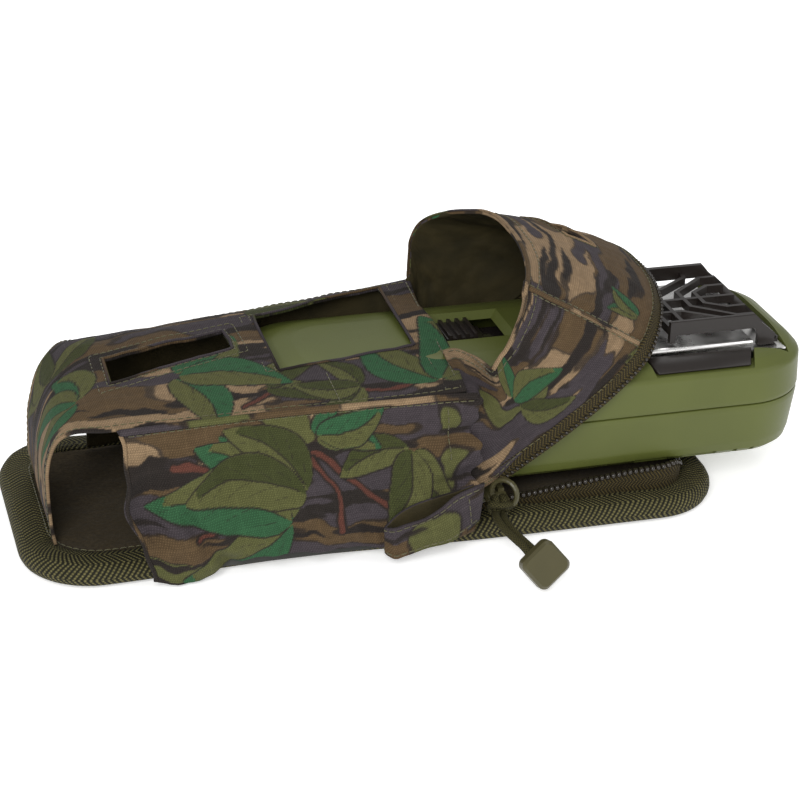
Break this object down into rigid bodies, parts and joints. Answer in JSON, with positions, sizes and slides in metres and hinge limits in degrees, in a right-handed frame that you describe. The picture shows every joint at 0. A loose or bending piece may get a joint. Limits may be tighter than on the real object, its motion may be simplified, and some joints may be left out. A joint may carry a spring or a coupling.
{
  "type": "portable insect repeller in a holster",
  "caption": "Hand-held gas-fired insect repeller with a grille over a hot plate, half drawn out of a zip-open camouflage cloth holster with a side pocket, hood and corded zip pull.",
  "frame": {"origin": "middle of the flat face that the holster's back rests on, which is the underside of the belt loop", "axes": "+X along the holster towards the zip end and the repeller's grille, -Y towards the side with the pocket and the zip pull, +Z out of the front of the holster"},
  "size_m": [0.2658, 0.1299, 0.0909],
  "materials": {
    "camouflage": "ripstop pack cloth printed with brown, olive and green leaves",
    "lining": "brushed olive lining",
    "webbing": "herringbone woven edge binding",
    "board": "closed-cell foam board",
    "zip_tape": "woven zip tape",
    "zip_teeth": "moulded zip teeth",
    "moulding": "satin olive-brown moulding",
    "cord": "braided cord",
    "device_green": "fine-textured olive green moulding",
    "black_plastic": "satin brown-black moulding",
    "hot_plate": "bright rolled metal",
    "steel": "plain",
    "brass": "machined",
    "canister": "satin",
    "ceramic": "matt",
    "rubber": "matt"
  },
  "bodies": {
    "holster": {"edge_binding": "webbing", "back_board": "board", "back_lining": "lining", "back_cover": "camouflage", "belt_loop": "webbing", "front_cover": "camouflage", "cover_hem": "camouflage", "near_wall": "lining", "far_wall": "camouflage", "side_pocket": "camouflage", "pocket_loop": "camouflage", "panel_zip_tape": "zip_tape", "panel_zip_teeth": "zip_teeth"},
    "hood": {"hood_near_panel": "camouflage", "hood_far_panel": "camouflage", "hood_band": "camouflage", "hood_zip_tape": "zip_tape", "hood_zip_teeth": "zip_teeth"},
    "slider": {"zip_slider": "moulding"},
    "pull": {"pull_ring": "moulding", "pull_toggle": "moulding", "pull_cord_a": "cord", "pull_cord_b": "cord"},
    "repeller": {"lower_shell": "device_green", "upper_shell": "device_green", "heater_plate": "hot_plate", "heat_shield": "hot_plate", "slot_plate": "black_plastic", "grille": "black_plastic", "switch_bed": "device_green", "gas_valve": "brass", "gas_jet_tube": "brass", "burner": "ceramic", "heat_chamber": "steel", "piezo_body": "black_plastic", "spark_lead": "rubber", "spark_electrode": "steel", "foot_1": "rubber", "foot_2": "rubber", "foot_3": "rubber", "foot_4": "rubber", "housing_screw_1": "steel", "housing_screw_2": "steel", "housing_screw_3": "steel", "housing_screw_4": "steel"},
    "switch": {"slide_switch": "black_plastic"},
    "valve_pin": {"valve_pin": "steel"},
    "button": {"igniter_button": "black_plastic"},
    "plunger": {"piezo_plunger": "steel"},
    "cartridge": {"fuel_cartridge": "canister"}
  },
  "joints": [
    {"name": "repeller_slide", "type": "slide", "parent": "holster", "child": "repeller", "axis": [1, 0, 0], "range_m": [-0.036, 0.19]},
    {"name": "hood_hinge", "type": "hinge", "parent": "holster", "child": "hood", "pos_m": [0.036, 0, 0.016], "axis": [0, -1, 0], "range_deg": [0, 50], "deforming": ["hood_near_panel", "hood_far_panel"]},
    {"name": "zip_slide", "type": "slide", "parent": "holster", "child": "slider", "axis": [1, 0, 0], "range_m": [0, 0.045]},
    {"name": "pull_swing", "type": "hinge", "parent": "slider", "child": "pull", "pos_m": [0.035, -0.045, 0.014], "axis": [1, 0, 0], "range_deg": [-15, 0]},
    {"name": "switch_slide", "type": "slide", "parent": "repeller", "child": "switch", "axis": [1, 0, 0], "range_m": [-0.002, 0.0035]},
    {"name": "valve_pin_slide", "type": "slide", "parent": "repeller", "child": "valve_pin", "axis": [1, 0, 0], "range_m": [-0.002, 0.0035]},
    {"name": "button_press", "type": "slide", "parent": "repeller", "child": "button", "axis": [0, 0, -1], "range_m": [0, 0.0016], "stiffness_N_per_m": 900},
    {"name": "plunger_strike", "type": "slide", "parent": "repeller", "child": "plunger", "axis": [0, 0, -1], "range_m": [0, 0.0016]},
    {"name": "cartridge_out", "type": "slide", "parent": "repeller", "child": "cartridge", "axis": [-1, 0, 0], "range_m": [0, 0.02]}
  ],
  "couplings": [
    {"joint": "valve_pin_slide", "follows": "switch_slide", "ratio": 1},
    {"joint": "plunger_strike", "follows": "button_press", "ratio": 1}
  ]
}
